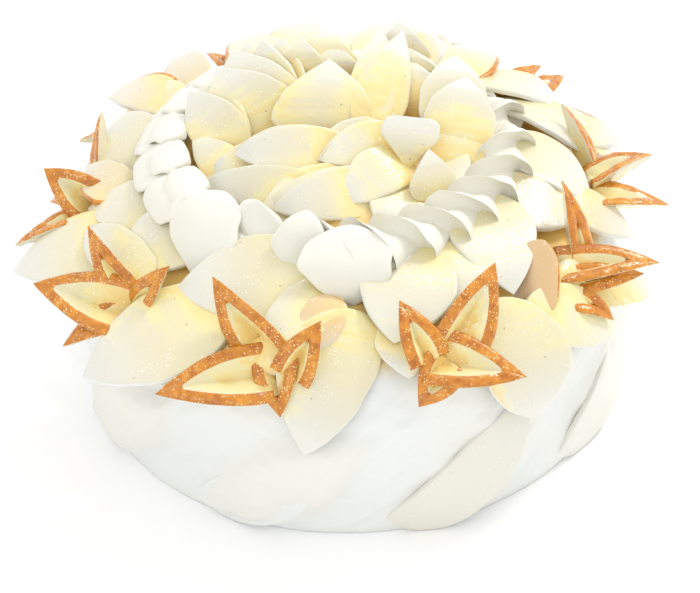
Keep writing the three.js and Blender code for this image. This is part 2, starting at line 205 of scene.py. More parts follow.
def petal(root, tip, wide, belly, face, arch, root_round=0.5, tip_round=0.95, peak=0.45,
          thick=LEAF_THICK, square=0.24, skin=0, ripe=0.0, amber=0.35, veil=0.0, flutes=0.0,
          thin_tip=0.0, ragged=1.0, skin_root=0.0, rows=40, sides=36):
    """A slab from root to tip. Its half width is (4 t (1 - t)) to a power, blunt at the root and
    sharp at the tip; each section is a rounded box, belly shifts it to one edge, arch bows the slab
    towards its broad side, flutes groove it lengthwise, and seeded waves bend it and its outline.
    Skin of 1 or -1 leaves the skin on one edge or the other, and skin_root on the rounded root.
    Amber is painted at the root and fades towards the tip: painted shade and glow where the root
    lies among other slices. Edges and tip are painted lighter, as painted light."""
    start, end = place(root), place(tip)
    along, across, normal, length = lengthwise(start, end, facing(face))
    u = ((1 - np.cos(np.linspace(0, np.pi, rows + 2))) / 2)[1:-1, None]
    angle = -2 * np.pi * np.arange(sides) / sides
    cosine, sine = np.cos(angle)[None, :], np.sin(angle)[None, :]
    t = u ** (np.log(0.5) / np.log(peak))
    outline = (4 * t * (1 - t)) ** np.where(t < 0.5, root_round, tip_round)
    phase = chance.uniform(0, 2 * np.pi, 4)
    flank = np.sign(cosine)
    edge_wave = 1 + ragged * sum(size * np.sin(turns * u + shift + apart * flank)
                                 for (size, turns, apart), shift in zip(EDGE_WAVES, phase))
    half = wide / 2 * outline * edge_wave
    y = half * soft_power(cosine, square) + wide / 2 * belly * outline
    fuller = 1 if belly >= 0 else -1
    slab = thick / 2 * np.minimum(1, outline * FULL_THICK)
    slab = slab * (1 - thin_tip * u) * (1 - THIN_EDGE * (0.5 - 0.5 * fuller * cosine))
    bend = (BOW * np.sin(4.2 * u + phase[2]) * np.sin(np.pi * u)
            + TWIST * (y / wide) * np.sin(6 * u + phase[3]))
    z = slab * soft_power(sine, square) + arch * 4 * u * (1 - u) + bend
    z = z + flutes * outline * np.sin(2 * np.pi * FLUTES * y / wide + 1.0)
    rings = (start + (u * length)[..., None] * along + y[..., None] * across
             + z[..., None] * normal)

    # paint: skin on one edge between root and tip and round the root, painted light on edges and
    # tip
    outer = smooth(0.45, 0.62, skin * cosine) * smooth(0.03, 0.1, u) * (1 - smooth(0.93, 0.985, u))
    edge = smooth(0.86, 0.97, np.abs(cosine))
    outer = np.maximum(outer, skin_root * np.maximum(1 - smooth(0.01, 0.03, u),
                                                     edge * (1 - smooth(0.32, 0.45, u))))
    # painted light: edges and tip go towards the cream's white, as light through the thin flesh
    pale = PALE * edge * (1 - outer) + PALE * smooth(0.35, 1, u)
    return surface(rings, (start, end), skin=outer, depth=amber * (1 - u) ** 1.3,
                   ripe=ripe, veil=np.maximum(veil, pale))


def fan(leaves, root, tip, *shape, turn=7.0, rise=1.2, **form):
    """A slice and the next leaves of the same cut behind it, each turned and set back a little."""
    made = []
    for k in range(leaves):
        start = (root[0] + turn * k * 0.4, root[1] - 1.0 * k, root[2] + 0.4 * k)
        end = (tip[0] + turn * k, tip[1] + 1.6 * k, tip[2] + rise * k)
        made.append(petal(start, end, *shape, **form))
    return made


# ---------------------------------------------------------------- leaf-cut wedge
# Where the points of a rim and of a wall lie between two corners: the end ones cut the bevels.
RIM_STEPS = (0.07, 0.3, 0.5, 0.7, 0.93)
WALL_STEPS = (0.035, 0.25, 0.5, 0.75, 0.965)
CUT_OVERLAP = 4.0           # mm by which a wedge's open end reaches over its neighbours
RIM_SWELL = 0.5             # mm that a rim bulges
HOLLOW_ENDS = 0.08          # mm, half width at which the hollow is closed near the apex
SWAY = 0.5                  # mm that a seeded wave moves a wedge sideways


def wedge(open_end, apex, wide, deep, upward, arch=2.0, thick=RIM_THICK, rows=34):
    """Two walls that meet in a keel below and in a point at the apex, like the prow of a boat.
    Half width goes as sin of the way from the apex to a power, the keel's depth as a power of it.
    A section is six corners, each cut by a small bevel. The two rims on top keep their skin, and
    where the hollow closes they meet."""
    start, end = place(open_end), place(apex)
    start = start - CUT_OVERLAP * (end - start) / np.linalg.norm(end - start)
    along, across, normal, length = lengthwise(start, end, facing(upward))
    u = 1 - (np.linspace(0, 1, rows) ** 1.25)[::-1]
    back = 1 - u
    half = np.maximum(0.35, wide / 2 * np.sin(np.pi / 2 * np.minimum(1, back * 1.15)) ** 0.9)
    keel = deep * np.minimum(1, back * 1.6) ** 0.75 + 0.5
    inner = np.maximum(half - thick * 0.9, HOLLOW_ENDS)
    trough = np.where(inner > HOLLOW_ENDS, np.maximum(keel - thick, 0.12), 0.04)
    none = np.zeros_like(u)
    swell = RIM_SWELL * np.minimum(1, back * 3)
    corners = [(inner, none), (none, -trough), (-inner, none), (-half, none), (none, -keel),
               (half, none)]
    points, skin, inside = [], [], []
    for k, (y0, z0) in enumerate(corners):
        y1, z1 = corners[(k + 1) % 6]
        rim = k in (2, 5)
        for step in RIM_STEPS if rim else WALL_STEPS:
            lift = swell * 4 * step * (1 - step) * rim
            points.append(np.stack([y0 + (y1 - y0) * step, z0 + (z1 - z0) * step + lift], -1))
            skin.append(rim)
            inside.append(k in (0, 1))
    section = np.stack(points, axis=1)
    skin, inside = (np.array(mark, float)[None, :] for mark in (skin, inside))
    phase = chance.uniform(0, 2 * np.pi, 2)[0]
    sway = (SWAY * np.sin(5 * u + phase) * back)[:, None]
    y = section[..., 0] + sway
    z = section[..., 1] + (arch * 4 * u * back)[:, None] + sway * 0.6
    rings = (start + (u * length)[:, None, None] * along + y[..., None] * across
             + z[..., None] * normal)
    rings = rings + 0.16 * ripple(rings, 5.0, 5)[..., None] * normal
    middle = -(keel + trough) / 2
    low_end = start + middle[0] * normal
    high_end = end + (middle[-1] + 0.2) * normal
    # painted shade: the hollow's inner walls go amber towards the open end, the whole wedge a
    # little
    depth = inside * 0.45 * back[:, None] + 0.1
    merged = (1 - smooth(0.1, 0.9, inner))[:, None] * inside
    return surface(rings, (low_end, high_end), skin=np.maximum(skin, merged), depth=depth)


def heart(azimuth, spread):
    """The small lens of pear that the wedges were cut from."""
    return petal((azimuth - spread, 90, 71), (azimuth + spread, 90, 71), 13, 0, (azimuth, 50), 1,
                 thick=8, tip_round=0.5, peak=0.5, square=0.6, rows=24, sides=28, amber=0.8)


# ---------------------------------------------------------------- cream body
# The wall, shoulder and dome as radius and height, from the plate up to the middle.
PROFILE = ((97, 0), (98.2, 3), (99, 25), (99, WALL_TOP), (96, 61), (90, 69), (75, 78), (61, 82),
           (50, 86), (39, 91), (24, 95), (8, DOME_TOP))
SLICE_LEAN = 37.5           # degrees that the side crescents climb, seen on the unrolled wall
CRESCENT_LONG = 68.0        # mm along a crescent
CRESCENT_WIDE = 25.0
CRESCENT_LOW, CRESCENT_HIGH = 6.0, 47.0    # mm, heights of its two tips
CRESCENT_SAG = 6.5          # mm that its middle hangs under the line from tip to tip
COVER_THICK = 4.6           # mm of cream over a covered crescent,
COVER_LESS = 3.4            # and how much less where one is bare
COVER_JUICE = 0.07          # painted depth of the cream over the crescents
# Streaks of the palette knife: how many round the wall, height in mm, start.
STREAKS = ((37, 0.22, 0.0), (53, 0.16, 1.9), (71, 0.1, 4.2), (97, 0.07, 0.7))
UNEVEN = ((0.35, 17.0, 8), (0.13, 5.5, 9))    # small unevenness: mm high, mm long, seed
KNIFE_STEP = 0.25           # mm between the points that the window evens


def rounded_profile(step_wall=1.0, step_dome=2.2, corner=9.0):
    """The profile walked by its length, its corners eased by a moving Hann window."""
    corners = np.array(PROFILE, float)
    walk = np.concatenate([[0], np.cumsum(np.linalg.norm(np.diff(corners, axis=0), axis=1))])
    fine = np.arange(0, walk[-1], KNIFE_STEP)
    line = np.stack([np.interp(fine, walk, corners[:, k]) for k in range(2)], axis=1)
    window = np.hanning(int(corner / KNIFE_STEP) | 1)
    window /= window.sum()
    pad = len(window) // 2
    before = 2 * line[0] - line[pad:0:-1]
    after = 2 * line[-1] - line[-2:-pad - 2:-1]
    long = np.concatenate([before, line, after])
    line = np.stack([np.convolve(long[:, k], window, "valid") for k in range(2)], axis=1)
    shoulder = 100.0        # mm along the profile, where the fruit starts to hide it
    at = np.concatenate([np.arange(0, shoulder, step_wall),
                         np.arange(shoulder, walk[-1] - 0.3, step_dome)])
    return np.stack([np.interp(at, fine, line[:, k]) for k in range(2)], axis=1)


def knife_wave(azimuth, height):
    """Long leaning waves that the palette knife leaves, on the wall alone."""
    a = np.radians(azimuth)
    on_wall = smooth(4, 20, height) * (1 - smooth(WALL_TOP, 75, height))
    return on_wall * (0.7 * np.sin(a * SIDE_SLICES - height / 9)
                      + 0.45 * np.sin(a * 4 + height / 17))


def over_crescents(azimuth, height):
    """Height of the cream swept over the side crescents, lower where the crescent shows more,
    and how far they cover the wall: both a smooth step round each outline."""
    cover = np.zeros(np.broadcast(azimuth, height).shape)
    swell = np.zeros_like(cover)
    lean = np.radians(SLICE_LEAN)
    for k, shown in enumerate(SIDE_SHOWN):
        middle = SIDE_FIRST + k * 360 / SIDE_SLICES + SIDE_SWEEP / 2
        round_wall = np.radians((azimuth - middle + 180) % 360 - 180) * WALL_RADIUS
        above = height - (CRESCENT_LOW + CRESCENT_HIGH) / 2
        along = round_wall * np.cos(lean) + above * np.sin(lean)
        across = -round_wall * np.sin(lean) + above * np.cos(lean) + CRESCENT_SAG
        edge = np.abs(across) / (CRESCENT_WIDE / 2) + (along / (CRESCENT_LONG / 2)) ** 2 * 0.9
        over = 1 - smooth(0.75, 1.65, edge)
        swell = np.maximum(swell, over * (COVER_THICK - COVER_LESS * shown))
        cover = np.maximum(cover, over)
    return swell, cover


def cream_body(columns=520):
    """The profile turned round the middle. The skin is pushed out by the knife's waves, by cream
    swept over the crescents, by streaks that lean with them, and by small unevenness."""
    line = rounded_profile()
    azimuth = np.arange(columns)[None, :] * 360 / columns - 180
    slope = np.gradient(line, axis=0)
    normal = np.stack([slope[:, 1], -slope[:, 0]], axis=1)
    normal /= np.linalg.norm(normal, axis=1, keepdims=True)
    radius, height = line[:, :1], line[:, 1:]
    turn = np.radians(azimuth)
    flat = np.stack([radius * np.sin(turn), -radius * np.cos(turn),
                     np.broadcast_to(height, (len(line), columns))], axis=-1)
    climb = WALL_RADIUS * np.tan(np.radians(SLICE_LEAN))
    streak = sum(size * np.sin(count * (turn - height / climb) + start)
                 for count, size, start in STREAKS)
    streak = streak * (0.6 + 0.5 * ripple(flat, 55.0, 4))
    on_wall = smooth(0.5, 8, height) * (1 - smooth(60, 72, height))
    swell, cover = over_crescents(azimuth, height)
    push = knife_wave(azimuth, height) + on_wall * swell + on_wall * streak
    for high, long, seed in UNEVEN:
        push = push + high * ripple(flat, long, seed)
    push = push * smooth(-1.0, 3.0, height)
    rings = np.stack([(radius + push * normal[:, :1]) * np.sin(turn),
                      -(radius + push * normal[:, :1]) * np.cos(turn),
                      height + push * normal[:, 1:]], axis=-1)
    rings[0, :, 2] = 0
    return surface(rings, (np.zeros(3), np.array([0, 0, DOME_TOP])),
                   depth=COVER_JUICE * on_wall * cover)


# ---------------------------------------------------------------- piped ring
ROPE_SUNK = 1.6             # mm that the rope stays under the folds
PULL_HIGH = 0.8             # mm that it swells at each pull
TONGUE_ROOM = 1.8           # mm that it is thinner under the tongues,
THIN_FROM, THIN_TO = (-48, -40), (0, 8)    # between these turns


def on_ring(turn, out, height):
    """A place beside the ring's centre line, from its own turn and the millimetres outward."""
    a = np.radians(turn)
    x = RING_CENTRE[0] + (RING_RADIUS + out) * np.sin(a)
    y = RING_CENTRE[1] - (RING_RADIUS + out) * np.cos(a)
    return np.degrees(np.arctan2(x, -y)), np.hypot(x, y), height


def rope_core(columns=360, sides=24):
    """The rope under the folds: a torus whose thickness swells at each pull of the nozzle, and
    which is thin under the tongues."""
    turn = (np.arange(columns) * 360 / columns - 180)[:, None]
    around = np.radians(np.arange(sides) * 360 / sides)[None, :]
    pull = np.abs(np.sin(np.radians(turn * PULLS / 2) + around))
    tube = RING_TUBE - ROPE_SUNK + PULL_HIGH * pull
    tube = tube - TONGUE_ROOM * smooth(*THIN_FROM, turn) * (1 - smooth(*THIN_TO, turn))
    return surface(round_ring(turn, around, tube))


def round_ring(turn, around, tube):
    """Points of a tube laid along the ring, from the turn, the way round and the thickness."""
    a = np.radians(turn)
    out = RING_RADIUS + tube * np.cos(around)
    return np.stack([RING_CENTRE[0] + out * np.sin(a), RING_CENTRE[1] - out * np.cos(a),
                     RING_HEIGHT + tube * np.sin(around)], axis=-1)


# Where each ruffled fold of the right side starts, in degrees round the ring.
FOLDS = (-9, 2, 12, 24, 35, 46, 58, 71, 86, 103, 119, 133)
FOLD_LEAD = 8.0             # degrees by which a fold's outer end is ahead of its inner end
FOLD_HIGH = 7.0             # mm that a crest stands over the hollow before it
FOLD_LEAN = 0.42            # share of a fold's length by which its crest hangs over that hollow


def ruffle(steps=30, sides=64):
    """The folds as one tube. Along it each fold is a trochoid wave whose crest is sheared over
    the hollow before it; the folds lie aslant and stand highest on top and outside."""
    starts = np.array(FOLDS, float)
    count = len(starts) - 2
    phase = np.linspace(0.5, count + 0.3, count * steps)[:, None]
    around = np.radians(np.arange(sides) * 360 / sides)[None, :]
    high = 0.5 + 0.5 * np.cos(2 * np.pi * phase)
    walk = phase - 0.13 * np.sin(2 * np.pi * phase) - FOLD_LEAN * high ** 1.5
    turn = np.interp(walk, np.arange(len(starts)), starts) + FOLD_LEAD * np.cos(around)
    shown = 0.2 + 0.8 * smooth(-0.7, 0.7, np.sin(around + 0.6))
    taper = 0.3 + 0.7 * smooth(0.5, 1.1, phase) * (1 - smooth(count - 0.6, count + 0.3, phase))
    tube = taper * (RING_TUBE - 1.2 + FOLD_HIGH * high * shown)
    rings = round_ring(turn, around, tube)
    rings = rings + 0.25 * ripple(rings, 9.0, 14)[..., None]
    return surface(rings, (rings[0].mean(axis=0), rings[-1].mean(axis=0)))


def tongue(start, end, wide, face, arch, thick, **form):
    """One pull of the nozzle from start to end, each (turn, out, height) on the ring."""
    form = {"square": 0.4, "root_round": 0.45, "tip_round": 0.6, "flutes": 0.45, "amber": 0,
            "ragged": 1.9, **form}
    return petal(on_ring(*start), on_ring(*end), wide, -0.1, face, arch, thick=thick, **form)


# Broad tongues at the front left: start, end, width, facing, arch, thickness, root and tip
# roundness.
TONGUES = (
    ((-43, -7, 102), (-41, 14, 80), 29, (-35, 45), 3, 2.6, 0.75, 1.25),
    ((-33, -5, 103), (-14, 4, 85), 15, (-20, 40), -2, 2.6, 0.6, 0.9),
    ((-9, -5, 104), (-11, 7, 80), 18, (-15, 35), 3, 2.6, 0.8, 1.25),
    ((5, 1, 102), (3, 15, 78), 31, (5, 45), 4, 2.6, 0.7, 1.2),
    ((12, 6, 95), (22, 8, 88), 12, (10, 50), 1, 2.6, 0.5, 0.6),
)
SCALLOPS = (-61, -79, -97, -115, -132)    # turns of the fans piped at the left
# A scallop's fan and the smaller one on it: start and end with their turn from the scallop's,
# width, elevation that it faces, arch, thickness and flutes.
SCALLOP_FANS = (((0, -8, 96), (-1, 11, 89), 25, 60, 3, 6, 0.6),
                ((3, -9, 100), (2, 5, 96), 18, 58, 2, 5, 0.5))
BACK_LUMP = ((146, -7, 108), (147, 7, 97), 17, (140, 60), 4, 9)    # where the rope closes


def cream_ring():
    """The rope, its ruffled folds at the right, a fan with a smaller one on it at each scallop of
    the left, the broad tongues at the front left, and the lump that closes the rope."""
    parts = [rope_core(), ruffle()]
    for turn in SCALLOPS:
        for (root, *start), (tip, *end), wide, up, arch, thick, flutes in SCALLOP_FANS:
            parts.append(tongue((turn + root, *start), (turn + tip, *end), wide, (turn, up), arch,
                                thick, thin_tip=0.7, tip_round=0.34, square=0.6, flutes=flutes))
    for *shape, root_round, tip_round in TONGUES:
        parts.append(tongue(*shape, thin_tip=0.6, root_round=root_round, tip_round=tip_round))
    parts.append(tongue(*BACK_LUMP))
    return parts


# ---------------------------------------------------------------- placements of the fruit
# Leaf cuts: three or four wedges round a heart, ten groups round the shoulder.
LEAF_CUTS = [
  [heart(-17, 6),
    wedge((-19, 92, 74), (-32, 85, 94), 18, 9, (-20, 25)),
    wedge((-19, 98, 70), (-34, 116, 66), 21, 9, (-30, 45)),
    wedge((-12, 96, 73), (-7, 88, 86), 15, 9, (-5, 30)),
    wedge((-16, 94, 71), (-14, 104, 58), 16, 9, (-15, 35))],
  [heart(17, 6),
    wedge((21, 95, 77), (33, 85, 94), 20, 9, (15, 25)),
    wedge((13, 97, 78), (10, 85, 90), 15, 8, (20, 40)),
    wedge((16, 97, 73), (29, 112, 68), 20, 9, (25, 50)),
    wedge((16, 100, 70), (11, 103, 60), 16, 8, (15, 40))],
  [heart(54, 6),
    wedge((55, 89, 77), (65, 115, 74), 16, 8, (60, 60)),
    wedge((54, 93, 72), (63, 111, 71), 12, 7, (60, 40)),
    wedge((60, 90, 77), (67, 79, 97), 11, 7, (50, 45)),
    wedge((51, 96, 70), (54, 108, 62), 12, 7, (50, 45))],
  [heart(90, 9),
    wedge((89, 89, 80), (91, 109, 84), 17, 8, (120, 60)),
    wedge((82, 89, 77), (83, 114, 73), 16, 7, (90, 70)),
    wedge((95, 90, 76), (106, 82, 94), 11, 7, (100, 45))],
  [heart(128, 7),
    wedge((133, 86, 80), (132, 103, 82), 14, 7, (130, 60)),
    wedge((128, 88, 77), (129, 110, 77), 16, 7, (125, 60)),
    wedge((122, 90, 76), (114, 108, 70), 15, 8, (120, 50))],
  [heart(165, 6),
    wedge((160, 90, 77), (152, 100, 82), 14, 7, (160, 50)),
    wedge((166, 94, 74), (168, 114, 68), 18, 8, (166, 50)),
    wedge((170, 92, 77), (179, 100, 80), 14, 7, (172, 45))],
  [heart(-157, 7),
    wedge((-153, 86, 79), (-150, 107, 80), 14, 7, (-150, 60)),
    wedge((-161, 88, 76), (-166, 100, 84), 13, 7, (-165, 50)),
    wedge((-158, 94, 73), (-163, 113, 68), 18, 8, (-158, 48))],
  [heart(-124, 7),
    wedge((-126, 89, 79), (-133, 97, 86), 12, 7, (-130, 60)),
    wedge((-120, 91, 76), (-113, 109, 74), 15, 7, (-118, 55)),
    wedge((-126, 94, 73), (-131, 112, 68), 17, 8, (-126, 48))],
  [heart(-94, 10),
    wedge((-88, 93, 79), (-92, 108, 88), 18, 8, (-70, 45)),
    wedge((-87, 93, 75), (-84, 120, 67), 14, 8, (-90, 60)),
    wedge((-99, 92, 75), (-109, 94, 94), 11, 7, (-100, 45)),
    wedge((-96, 94, 72), (-99, 112, 64), 16, 8, (-96, 45))],
  [heart(-52, 6),
    wedge((-53, 99, 74), (-66, 118, 76), 22, 9, (-50, 55)),
    wedge((-52, 96, 72), (-56, 118, 63), 16, 8, (-60, 45)),
    wedge((-55, 94, 78), (-65, 97, 94), 13, 7, (-50, 40)),
    wedge((-50, 92, 76), (-45, 85, 90), 12, 7, (-40, 35))],
]
# Flower inside the ring: low slices that point front left, tall ones round the back.
FLOWER = [
  [petal((-6, 30, 92.5), (-70, 55, 94), 16, -0.1, (-15, 48), 3, tip_round=0.9)],
  [*fan(2, (31, 29, 93), (-43, 43, 93), 19, 0.1, (-15, 48), 4, tip_round=0.9)],
  [petal((53, 31, 95), (-4, 35, 94), 18, -0.5, (-12, 48), 3, tip_round=0.9, peak=0.5)],
  [*fan(2, (70, 25, 99), (-32, 19, 100), 16, -0.25, (-8, 48), 3, tip_round=0.9, peak=0.5)],
  [*fan(2, (23, 10, 98), (-80, 39, 100), 18, 0.1, (-10, 48), 4, tip_round=0.9, peak=0.5)],
  [petal((-69, 40, 92), (-96, 55, 98), 16, 0.1, (-5, 55), 1, tip_round=1.1, peak=0.3)],
  [*fan(2, (-92, 37, 93), (-114, 56, 108), 20, 0.1, (-15, 42), 2, tip_round=1.0)],
  [*fan(2, (-101, 30, 94), (-118, 51, 114), 32, -0.1, (-5, 40), 2, tip_round=1.0, peak=0.35,
        turn=-13)],
  [petal((41, 30, 94), (66, 25, 112), 20, 0, (5, 25), 1, root_round=0.9, tip_round=0.15,
         peak=0.75)],
  [petal((44, 42, 91), (53, 35, 106), 17, 0, (20, 30), 1, tip_round=1.0, peak=0.25)],
  [*fan(2, (66, 41, 89.5), (89, 40, 105.5), 20, 0.1, (20, 42), 2, tip_round=0.8, peak=0.45),
    *fan(2, (76, 40, 97), (102, 44, 115), 26, 0.1, (20, 45), 2, tip_round=0.9, peak=0.4,
         turn=17)],
  [*fan(2, (99, 9, 99), (160, 42, 119), 20, 0, (2, 35), 3, tip_round=1.15, peak=0.32, rise=0,
        turn=-11),
    petal((83, 11, 99), (145, 29, 114), 8, 0, (0, 30), 1, tip_round=0.8)],
  [*fan(2, (-102, 9, 98), (-160, 22, 116), 34, 0, (-3, 38), 2, tip_round=1.0, peak=0.28,
        turn=-9, rise=0.5)],
  [*fan(2, (130, 32, 92.5), (138, 40, 106), 22, 0, (5, 40), 1, tip_round=0.8, turn=12),
    petal((140, 34, 100.5), (140, 37, 116.5), 24, 0, (5, 40), 1, tip_round=1.0)],
  [petal((-170, 24, 95), (-177, 36, 115), 27, 0, (-3, 36), 2, tip_round=1.1, peak=0.35),
    petal((-164, 28, 101.5), (-173, 42, 118.5), 27, 0, (-3, 35), 2, tip_round=1.1, peak=0.33)],
  [petal((-130, 43, 96), (-142, 56, 113), 19, 0, (-8, 35), 2, tip_round=1.2, peak=0.32),
    *fan(2, (-134, 31, 97), (-153, 47, 115), 24, 0.15, (-30, 30), 2, tip_round=1.1, peak=0.35,
         turn=9),
    petal((-151, 33, 100.5), (-159, 39, 118), 22, 0, (-5, 35), 2, tip_round=1.1, peak=0.33)],
  [petal((153, 44, 104), (138, 58, 108), 16, 0, (5, 55), 2, tip_round=0.9, peak=0.4),
    petal((154, 42, 102), (155, 50, 118), 20, -0.3, (5, 40), 2, tip_round=1.0, peak=0.33)],
]
# Leaves that the solids' triangles leave out. Under and between the flower's slices, as root, tip,
# width and facing:
BETWEEN = (
    ((-40, 22, 94), (-78, 52, 91), 26, (-20, 55)),
    ((20, 26, 94), (-42, 48, 90), 26, (-10, 55)),
    ((70, 30, 93), (12, 44, 90), 26, (0, 55)),
    ((95, 20, 94), (50, 50, 92), 28, (20, 50)),
    ((60, 22, 95), (-60, 12, 101), 24, (0, 50)),
    ((117, 24, 98), (137, 36, 112.5), 24, (5, 40)),
)
# At the back of the flower: where they start round the cake, and by how much each tip leads its
# root.
BEHIND_LOW = ((128, 4), (141, 5), (154, 3), (167, 2), (180, -1), (-167, -2), (-153, -4), (-140, -3))
BEHIND_HIGH = ((147, 6), (163, 3), (178, -2), (-164, -4), (-149, -5))


def small_leaves():
    """The leaves between the slices, then two rows that lean back from the flower: low leaves out
    to the ring, and higher ones inside."""
    leaves = [petal(root, tip, wide, 0, face, 2) for root, tip, wide, face in BETWEEN]
    leaves += [petal((turn, 26, 97), (turn + lead, 54, 92), 25, 0, (turn, 65), 4, tip_round=0.9)
              for turn, lead in BEHIND_LOW]
    return leaves + [petal((turn, 25, 98), (turn + lead, 45, 105), 23, 0, (turn, 50), 3,
                           tip_round=1.0) for turn, lead in BEHIND_HIGH]


# Skirt outside the ring: fans that lie on each other and on the shoulder.
SKIRT = [
  [petal((4, 78, 80), (-10, 105, 43), 31, -0.35, (-5, 30), 6)],
  [petal((34, 85, 79), (33, 106, 42), 32, 0.1, (25, 35), 6, peak=0.55)],
  [petal((55, 49, 91), (38, 86, 78), 30, 0.05, (25, 55), 5, peak=0.45),
    petal((40, 56, 88), (24, 84, 79), 18, 0, (14, 52), 3)],
  [petal((21, 50, 89), (8, 90, 77), 32, 0.2, (0, 55), 4, peak=0.55),
    petal((11, 79, 79), (10, 98, 68), 19, 0, (5, 40), 2)],
  [petal((-7, 58, 88), (-44, 84, 81), 31, 0.25, (-25, 55), 4),
    petal((-5, 66, 84), (-20, 90, 76), 20, 0.2, (-20, 50), 3),
    petal((-4, 72, 83), (-11, 91, 74), 15, 0, (-10, 45), 2, ripe=0.55)],
  [petal((-30, 78, 80), (-50, 119, 58), 34, 0.1, (-45, 55), 4),
    petal((-25, 88, 73), (-42, 104, 59), 26, 0, (-35, 45), 3)],
  [petal((-65, 55, 87), (-86, 93, 77), 24, 0.2, (-70, 60), 4)],
  [petal((-49, 62, 86), (-68, 84, 81), 26, 0, (-45, 57), 3)],
  [petal((-73, 77, 80), (-81, 122, 60), 30, 0.2, (-70, 60), 3),
    petal((-53, 83, 80), (-78, 94, 78), 18, 0.2, (-62, 55), 3)],
  [petal((-92, 63, 84), (-116, 96, 84), 28, 0.2, (-95, 55), 4)],
  [petal((-87, 74, 84), (-96, 96, 82), 18, 0.4, (-82, 57), 3, skin=1, ripe=0.2)],
  [petal((48, 92.5, 78.5), (41.5, 76, 75.5), 27, 0, (15, 42), 1, peak=0.4, thick=3.0,
         skin_root=1, ripe=0.8, amber=0.2)],
  [petal((64, 49, 91), (70, 84, 78), 24, -0.2, (55, 60), 3, ripe=0.2)],
  [petal((90, 48, 91), (77, 87, 79), 25, 0.45, (65, 60), 4)],
  [petal((70, 73, 83), (76, 103, 67), 18, 0.3, (65, 55), 2, ripe=0.25)],
  [petal((37, 92, 72), (57, 109, 54), 22, 0.2, (45, 45), 3),
    petal((52, 94, 69), (70, 113, 54), 16, 0.3, (60, 40), 2)],
  [petal((105, 76, 82), (105, 108, 72), 20, 0.3, (95, 60), 2),
    petal((107, 75, 83), (111, 100, 76), 16, 0.5, (105, 60), 2, skin=1),
    petal((105, 80, 81), (106, 111, 52), 26, 0.1, (104, 42), 6)],
  [petal((138, 66, 88), (114, 88, 82), 30, 0.45, (115, 65), 4),
    petal((121, 62, 89), (97, 86, 80), 28, 0.45, (96, 62), 4)],
  [petal((140, 62, 88), (146, 100, 82), 24, 0, (150, 60), 3, skin=-1),
    petal((137, 73, 84), (137, 92, 80), 16, 0.6, (140, 60), 2),
    petal((142, 77, 83), (147, 110, 50), 30, 0.1, (146, 42), 6)],
  [petal((168, 60, 87), (169, 107, 83), 24, 0, (170, 60), 3),
    petal((154, 62, 86), (160, 106, 82), 22, 0, (160, 60), 3, skin=1),
    petal((177, 58, 86), (178, 102, 82), 24, 0.3, (180, 60), 3, skin=1),
    petal((-178, 75, 86), (-178, 110, 48), 30, -0.1, (-178, 42), 6)],
  [petal((-160, 64, 86), (-176, 113, 82), 24, 0.4, (-175, 60), 3, skin=1),
    petal((-152, 65, 86), (-158, 108, 82), 24, -0.2, (-160, 60), 3, skin=1),
    petal((-151, 72, 92), (-143, 110, 50), 28, 0.1, (-141, 42), 6),
    petal((-136, 72, 84), (-147, 111, 82), 22, 0.5, (-130, 60), 2, skin=1, ripe=0.2)],
  [petal((-124, 76, 83), (-122, 106, 84), 22, -0.6, (-100, 60), 2, skin=-1, ripe=0.2),
    petal((-126, 74, 84), (-130, 96, 84), 16, 0, (-110, 60), 2),
    petal((-123, 75, 86), (-110, 111, 54), 26, 0.1, (-112, 42), 6)],
]


def side_crescent(k):
    """A crescent pressed into the wall, climbing to the right, under its thin cover of cream."""
    start = SIDE_FIRST + k * 360 / SIDE_SLICES
    return petal((start, WALL_RADIUS - 1, CRESCENT_LOW),
                 (start + SIDE_SWEEP, WALL_RADIUS - 2, CRESCENT_HIGH), CRESCENT_WIDE, -0.55,
                 (start + SIDE_SWEEP / 2, 5), 5 + 2 * SIDE_SHOWN[k], root_round=0.55, tip_round=0.8,
                 amber=0.1, veil=0.95 - 0.45 * SIDE_SHOWN[k], rows=60, sides=40)


# ---------------------------------------------------------------- painted shade and glow in the crevices
CELL = 3.0                  # mm, grid on which the top of the fruit is found
HALF_FIELD = 132.0
NEAR_CELL = 2.5             # mm, cells in which the edges of neighbouring slices are counted
NEAR_FIELD = 120.0
SPARE = 4                   # cells past the field's far sides
EVENED = 3                  # times that a cell is evened out with its neighbours
CREVICE_SHADE_RISE = 8.0            # mm over which the painted crevice shade and glow comes in above its lowest height


def cells_of(points, field, size):
    """The cell that each point is in, counted from the corner of a field round the middle."""
    corner = np.array([-field, -field, 0])[:points.shape[1]]
    return tuple(((points - corner) / size).astype(int).T)


def deepen(painted, more):
    """Moves a painted depth towards 1 by a share of what is missing."""
    painted["depth"] = 1 - (1 - painted["depth"]) * (1 - more)


def top_of(parts, spread=0):
    """The height of the uppermost point in each cell seen from above, spread over its neighbours
    as often as asked, then evened out with them."""
    count = int(2 * HALF_FIELD / CELL)
    top = np.zeros((count, count))
    for points, *_ in parts:
        np.maximum.at(top, cells_of(points[:, :2], HALF_FIELD, CELL), points[:, 2])
    for k in range(spread + EVENED):
        near = [np.roll(top, step, axis) for axis in (0, 1) for step in (-1, 1)]
        top = np.maximum.reduce([top, *near]) if k < spread else (2 * top + sum(near)) / 6
    return top


def crowd(parts, top, shallow=0.5, deep=8.0, lowest=0.0):
    """Deepens the painted depth of points that lie far under the evened top of the fruit, and above
    a lowest height: painted shade and amber glow where slices shade each other."""
    for points, _, _, painted in parts:
        under = top[cells_of(points[:, :2], HALF_FIELD, CELL)] - points[:, 2]
        deepen(painted, smooth(shallow, deep, under)
               * smooth(lowest, lowest + CREVICE_SHADE_RISE, points[:, 2]))


